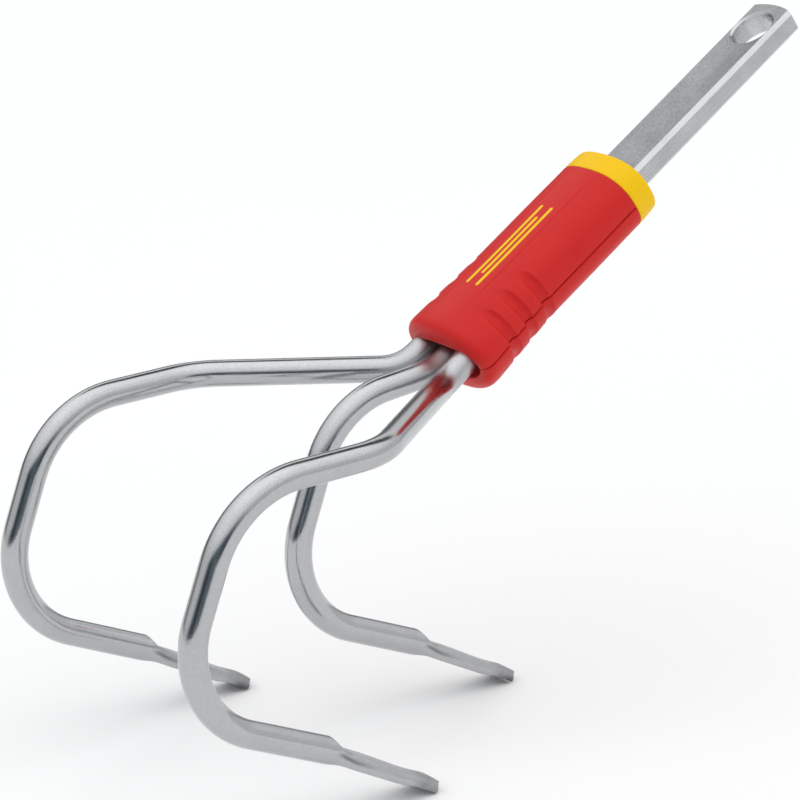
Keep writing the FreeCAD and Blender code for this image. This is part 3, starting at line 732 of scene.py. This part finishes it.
def ring_size(kind, value, ease):
    """Half width, half height above and below, squareness and lift of a station's oval."""
    if kind == "outer":
        wide, high, low, power = outer_size(value)
        return wide - ease, high - ease, low - ease, power, 0.0
    if kind == "nose":
        fall = 1.0 - max(math.cos(value * math.pi / 2.0), 0.0) ** NOSE_FULLNESS
        rim_wide, rim_high = MOUTH_WIDE + RIM_WIDE, MOUTH_HIGH + RIM_HIGH
        return (mix(NOSE_WIDE, rim_wide, fall), mix(NOSE_HIGH, rim_high, fall),
                mix(NOSE_LOW, rim_high, fall), mix(NOSE_POWER, MOUTH_POWER, fall), MOUTH_LIFT * fall)
    if kind == "mouth":
        return MOUTH_WIDE + ease, MOUTH_HIGH + ease, MOUTH_HIGH + ease, MOUTH_POWER, MOUTH_LIFT
    wide, high, low, power = outer_size(room_place(value))
    return wide - WALL, high - WALL, low - WALL, power, 0.0


def half_angles(wide, high, low, power, lift, upper):
    """First and last angle of a half ring that ends on the seam."""
    level = SEAM_LIFT + (SEAM_GAP if upper else -SEAM_GAP) - lift
    span = high if level >= 0.0 else low
    reach = wide * (1.0 - min(abs(level / span), SEAM_LEVEL_MOST) ** power) ** (1.0 / power)
    right = math.atan2(level, reach)
    left = math.pi - right
    return (right, left) if upper else (left, 2.0 * math.pi + right)


def half_shares():
    """Places round a half ring from 0 to 1, closer together beside the seam."""
    edge = SEAM_COLUMNS[-1]
    middle = [edge + (1.0 - 2.0 * edge) * k / HALF_COLUMNS for k in range(1, HALF_COLUMNS)]
    return list(SEAM_COLUMNS) + middle + [1.0 - share for share in reversed(SEAM_COLUMNS)]


def shell_stations():
    """Rings of one shell's wall: outside, nose, mouth, then back along the inside."""
    stations = [("outer", -COLLAR_FRONT - ahead * MM, ease * MM) for ahead, ease in REAR_EDGE]
    x = -COLLAR_FRONT
    while x > -NOSE_BEGIN:
        grooved = GROOVE_VALLEYS[0] + GROOVED_BEHIND > x > GROOVE_VALLEYS[-1] - GROOVED_AHEAD
        x -= GROOVED_STEP if grooved else PLAIN_STEP
        stations.append(("outer", max(x, -NOSE_BEGIN), 0.0))
    stations += [("nose", k / NOSE_STEPS, 0.0) for k in range(1, NOSE_STEPS + 1)]
    stations += [("mouth", inside * MM, ease * MM) for inside, ease in MOUTH_EDGE]
    stations += [("room", share, 0.0) for share in ROOM_SHARES]
    return stations


def nose_shift(y, z):
    """How far back the nose's end lies at a point: back at the sides, forward below."""
    return NOSE_BOW * (y / MOUTH_WIDE) ** 2 - LOWER_JUT * smoothstep(*JUT_RANGE, -z)


def shell_ring(kind, value, ease, shares, upper):
    """Points of one station of a shell, from seam to seam, in the tool axis frame."""
    wide, high, low, power, lift = ring_size(kind, value, ease)
    first, last = half_angles(wide, high, low, power, lift, upper)
    points = []
    for share in shares:
        angle = mix(first, last, share)
        radius = oval_radius(angle, wide, high if math.sin(angle) >= 0.0 else low, power)
        y, z = radius * math.cos(angle), radius * math.sin(angle)
        near_seam = min(share, 1.0 - share) * abs(last - first) * radius
        eased_in = SEAM_EASE * max(0.0, 1.0 - near_seam / SEAM_EASE_REACH) ** 2
        if kind == "outer":
            x = value
            sunk = groove_depth(x, math.atan2(z, y)) + panel_depth(x, y, z) + eased_in
            shrink = 1.0 - sunk / radius
            y, z = y * shrink, (z if near_seam == 0.0 else z * shrink)
        elif kind == "nose":
            go = math.sin(value * math.pi / 2.0) ** NOSE_FULLNESS
            x = -(NOSE_BEGIN + (NOSE_END - NOSE_BEGIN) * go) + nose_shift(y, z) * go
            y -= math.copysign(eased_in * (1.0 - value), y)
        elif kind == "mouth":
            x = -(NOSE_END - value) + nose_shift(y, z) * (1.0 - smoothstep(*BOW_FADE, value))
        else:
            x = room_place(value)
        points.append((x, y, z + lift))
    return points


def sleeve_shell(name, upper):
    shares = half_shares()
    stations = shell_stations()
    verts = []
    for kind, value, ease in stations:
        verts += [head_point(*p) for p in shell_ring(kind, value, ease, shares, upper)]
    columns = len(shares)
    faces = ring_faces(len(stations), columns, closed_rings=True, closed_columns=False)
    faces.append(tuple(i * columns for i in range(len(stations))))
    faces.append(tuple(i * columns + columns - 1 for i in reversed(range(len(stations)))))
    return new_object(name, verts, faces, PLASTIC_SMOOTH_ANGLE)


dress(sleeve_shell("sleeve_upper", True), "red_plastic", "root", "upper_shell")
dress(sleeve_shell("sleeve_lower", False), "red_plastic", "root", "lower_shell")


# ---------------------------------------------------------------- collar
COLLAR_COLUMNS = 240
COLLAR_GAP = 0.02 * MM
COLLAR_ROUND = 1.4 * MM
COLLAR_ROUND_STEPS = 8
COLLAR_SIDE_STEPS = 8
COLLAR_REAR_WIDE, COLLAR_REAR_HIGH = 17.45 * MM, 12.35 * MM
SLOT_WIDE, SLOT_HIGH, SLOT_POWER = 9.78 * MM, 3.98 * MM, 10.0
REAR_FACE_SHARES = (0.3, 0.6, 0.85)
COLLAR_EDGE = ((0.0, 0.25), (0.08, 0.08), (0.25, 0.0))  # mm behind the front, mm of rounding
SLOT_EDGE = ((0.0, 0.3), (-0.09, 0.09), (-0.3, 0.0), (-4.0, 0.0))


def collar_rings():
    """Outside from front to rear, over the rounded rear edge, in to the slot and through it."""
    front_x = -COLLAR_FRONT + COLLAR_GAP
    rings = []
    for behind, inset in COLLAR_EDGE:
        rings.append((front_x + behind * MM, BODY_WIDE - inset * MM, BODY_HIGH - inset * MM, BODY_POWER))
    side_x = rings[-1][0]
    for k in range(1, COLLAR_SIDE_STEPS + 1):
        t = k / COLLAR_SIDE_STEPS
        wide = mix(BODY_WIDE, COLLAR_REAR_WIDE, t * t)
        high = mix(BODY_HIGH, COLLAR_REAR_HIGH, t * t)
        rings.append((mix(side_x, -COLLAR_ROUND, t), wide, high, BODY_POWER))
    for k in range(1, COLLAR_ROUND_STEPS + 1):
        angle = k / COLLAR_ROUND_STEPS * math.pi / 2.0
        inset = COLLAR_ROUND * (1.0 - math.cos(angle))
        rings.append((-COLLAR_ROUND * (1.0 - math.sin(angle)), COLLAR_REAR_WIDE - inset,
                      COLLAR_REAR_HIGH - inset, BODY_POWER))
    for t in REAR_FACE_SHARES:
        rings.append((0.0, mix(COLLAR_REAR_WIDE - COLLAR_ROUND, SLOT_WIDE, t),
                      mix(COLLAR_REAR_HIGH - COLLAR_ROUND, SLOT_HIGH, t), mix(BODY_POWER, SLOT_POWER, t)))
    for x, ease in SLOT_EDGE:
        rings.append((x * MM, SLOT_WIDE + ease * MM, SLOT_HIGH + ease * MM, SLOT_POWER))
    rings.append((front_x, SLOT_WIDE, SLOT_HIGH, SLOT_POWER))
    return rings


def end_collar(name):
    rings = collar_rings()
    verts = []
    for x, wide, high, power in rings:
        for j in range(COLLAR_COLUMNS):
            angle = 2.0 * math.pi * j / COLLAR_COLUMNS
            radius = oval_radius(angle, wide, high, power)
            verts.append(head_point(x, radius * math.cos(angle), radius * math.sin(angle)))
    faces = ring_faces(len(rings), COLLAR_COLUMNS, closed_rings=True)
    return new_object(name, verts, faces, PLASTIC_SMOOTH_ANGLE)


dress(end_collar("collar_ring"), "yellow_plastic", "root", "end_collar")


# ---------------------------------------------------------------- tang and welds
TANG_MERGE = 0.002 * MM
TANG_BEVEL = 0.10 * MM
TANG_FLAT_ANGLE, TANG_EDGE_ANGLE, TANG_SMOOTH_ANGLE = 1.0, 25.0, 18.0


def eased_tang(name):
    """The tang's own shape with its sharp edges eased by a fraction of a millimetre."""
    mesh = frame["nodes"]["tang"].data.copy()
    mesh.name = name
    obj = bpy.data.objects.new(name, mesh)
    bpy.context.scene.collection.objects.link(obj)
    bm = bmesh.new()
    bm.from_mesh(mesh)
    bmesh.ops.remove_doubles(bm, verts=bm.verts, dist=TANG_MERGE)
    bmesh.ops.dissolve_limit(bm, angle_limit=math.radians(TANG_FLAT_ANGLE), verts=bm.verts, edges=bm.edges)
    sharp = [edge for edge in bm.edges
             if len(edge.link_faces) == 2 and edge.calc_face_angle() > math.radians(TANG_EDGE_ANGLE)]
    bmesh.ops.bevel(bm, geom=sharp, offset=TANG_BEVEL, segments=1, affect="EDGES", clamp_overlap=True)
    bmesh.ops.recalc_face_normals(bm, faces=bm.faces)
    bm.to_mesh(mesh)
    bm.free()
    mesh.shade_smooth()
    mesh.set_sharp_from_angle(angle=math.radians(TANG_SMOOTH_ANGLE))
    return obj


dress(eased_tang("tang_bar"), "tang_steel", "root", "tang")
for node in ("butt_welds", "tine_welds"):
    welds = frame["nodes"][node]
    welds.data.materials.clear()
    welds.data.materials.append(MATERIALS["weld_metal"])


# ---------------------------------------------------------------- floor
FLOOR_HALF = 6.0
FLOOR_DARK, FLOOR_LIGHT = grey(0.93), grey(0.95)
FLOOR_ROUGHNESS = 0.75


def floor():
    mesh = bpy.data.meshes.new("floor")
    corners = [(-FLOOR_HALF, -FLOOR_HALF, 0), (FLOOR_HALF, -FLOOR_HALF, 0),
               (FLOOR_HALF, FLOOR_HALF, 0), (-FLOOR_HALF, FLOOR_HALF, 0)]
    mesh.from_pydata(corners, [], [(0, 1, 2, 3)])
    obj = bpy.data.objects.new("floor", mesh)
    bpy.context.scene.collection.objects.link(obj)
    m = Material("pale_floor")
    cloud = m.noise(m.object_place(), scale=2.0, detail=2.0, rough=0.5)
    colour = m.blend(cloud, FLOOR_DARK, FLOOR_LIGHT)
    normal = m.bump(cloud, distance=0.1 * MM, strength=0.1)
    obj.data.materials.append(m.finish(colour, FLOOR_ROUGHNESS, normal, Specular_IOR_Level=SATIN_SPECULAR))
    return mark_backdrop(obj)


# ---------------------------------------------------------------- studio light
STUDIO_WHITE = (0.985, 0.995, 1.0, 1.0)
STUDIO_SHADE = (0.70, 0.86, 1.0, 1.0)
SKY_RISE = (0.25, 0.75, 0.80, 1.25)  # sines of elevation where the light grows, and its two levels
SKY_CROWN = (0.7, 1.0, 0.0, 0.30)  # the same for the extra light straight above

# Each card: azimuth, elevation, half width, half height, softness, lean; then how much it darkens.
# Angles are in degrees. Azimuth 0 is +Y and 90 is +X.
DARK_CARDS = (
    ((-136.0, 1.0, 50.0, 21.0, 0.22), 0.74),
    ((-116.0, 1.0, 17.0, 20.0, 0.35), 0.60),
    ((-170.0, 1.0, 12.0, 20.0, 0.40), 0.50),
    ((50.2, 48.5, 28.0, 12.0, 0.22, -25.0), 0.92),
    ((12.0, 5.0, 58.0, 16.0, 0.30), 0.78),
)


def studio():
    """Soft light, brightest overhead, with dark oval cards round the object.

    Where the first card hangs, the light that is left is bluer."""
    world = bpy.data.worlds.new("studio")
    world.use_nodes = True
    nodes, links = world.node_tree.nodes, world.node_tree.links
    back = nodes["Background"]
    direction = nodes.new("ShaderNodeTexCoord").outputs["Generated"]

    def calc(operation, first, second=0.0):
        made = nodes.new("ShaderNodeMath")
        made.operation = operation
        for socket, value in zip(made.inputs, (first, second)):
            if isinstance(value, bpy.types.NodeSocket):
                links.new(value, socket)
            else:
                socket.default_value = value
        return made.outputs[0]

    def facing(vector):
        made = nodes.new("ShaderNodeVectorMath")
        made.operation = "DOT_PRODUCT"
        links.new(direction, made.inputs[0])
        made.inputs[1].default_value = vector
        return made.outputs["Value"]

    def between(value, low, high, to_low, to_high):
        made = nodes.new("ShaderNodeMapRange")
        made.interpolation_type = "SMOOTHSTEP"
        links.new(value, made.inputs["Value"])
        for name, number in (("From Min", low), ("From Max", high), ("To Min", to_low), ("To Max", to_high)):
            made.inputs[name].default_value = number
        return made.outputs["Result"]

    def card(azimuth, elevation, half_wide, half_high, soft, lean=0.0):
        """Mask of one oval card: 1 inside, 0 outside."""
        a, e, tilt = math.radians(azimuth), math.radians(elevation), math.radians(lean)
        ahead = Vector((math.sin(a) * math.cos(e), math.cos(a) * math.cos(e), math.sin(e)))
        side = ahead.cross(Vector((0.0, 0.0, 1.0))).normalized()
        above = side.cross(ahead)
        wide_axis = side * math.cos(tilt) + above * math.sin(tilt)
        high_axis = above * math.cos(tilt) - side * math.sin(tilt)
        across = calc("DIVIDE", facing(wide_axis), math.sin(math.radians(half_wide)))
        along = calc("DIVIDE", facing(high_axis), math.sin(math.radians(half_high)))
        distance = calc("SQRT", calc("ADD", calc("POWER", across, 2.0), calc("POWER", along, 2.0)))
        inside = between(distance, 1.0 - soft, 1.0 + soft, 1.0, 0.0)
        return calc("MULTIPLY", inside, calc("GREATER_THAN", facing(ahead), 0.0))

    height = facing((0.0, 0.0, 1.0))
    sky = calc("ADD", between(height, *SKY_RISE), between(height, *SKY_CROWN))
    for shape, cut in DARK_CARDS:
        sky = calc("MULTIPLY", sky, calc("SUBTRACT", 1.0, calc("MULTIPLY", card(*shape), cut)))
    links.new(sky, back.inputs["Strength"])
    tint = nodes.new("ShaderNodeMix")
    tint.data_type = "RGBA"
    links.new(card(*DARK_CARDS[0][0]), tint.inputs["Factor"])
    tint.inputs["A"].default_value = STUDIO_WHITE
    tint.inputs["B"].default_value = STUDIO_SHADE
    links.new(tint.outputs["Result"], back.inputs["Color"])
    bpy.context.scene.world = world
    bpy.context.scene.view_settings.view_transform = "Standard"


# ---------------------------------------------------------------- camera
CAMERA_TARGET = ORIGIN + Vector((-86.73, 10.32, -61.39)) * MM
CAMERA_AZIMUTH, CAMERA_ELEVATION, CAMERA_ROLL = -34.057, 17.548, -3.06
CAMERA_DISTANCE = 1018.1 * MM
CAMERA_LENS = 138.33
CAMERA_NEAR, CAMERA_FAR = 0.05, 50.0


def camera():
    azimuth, elevation = math.radians(CAMERA_AZIMUTH), math.radians(CAMERA_ELEVATION)
    back = Vector((math.sin(azimuth) * math.cos(elevation), -math.cos(azimuth) * math.cos(elevation),
                   math.sin(elevation)))
    data = bpy.data.cameras.new("camera")
    data.lens = CAMERA_LENS
    data.clip_start, data.clip_end = CAMERA_NEAR, CAMERA_FAR
    obj = bpy.data.objects.new("camera", data)
    level = back.to_track_quat("Z", "Y").to_matrix()
    tilted = level @ Matrix.Rotation(math.radians(-CAMERA_ROLL), 3, "Z").transposed()
    obj.matrix_world = Matrix.Translation(CAMERA_TARGET + back * CAMERA_DISTANCE) @ tilted.to_4x4()
    bpy.context.scene.collection.objects.link(obj)
    bpy.context.scene.camera = obj


floor()
studio()
camera()
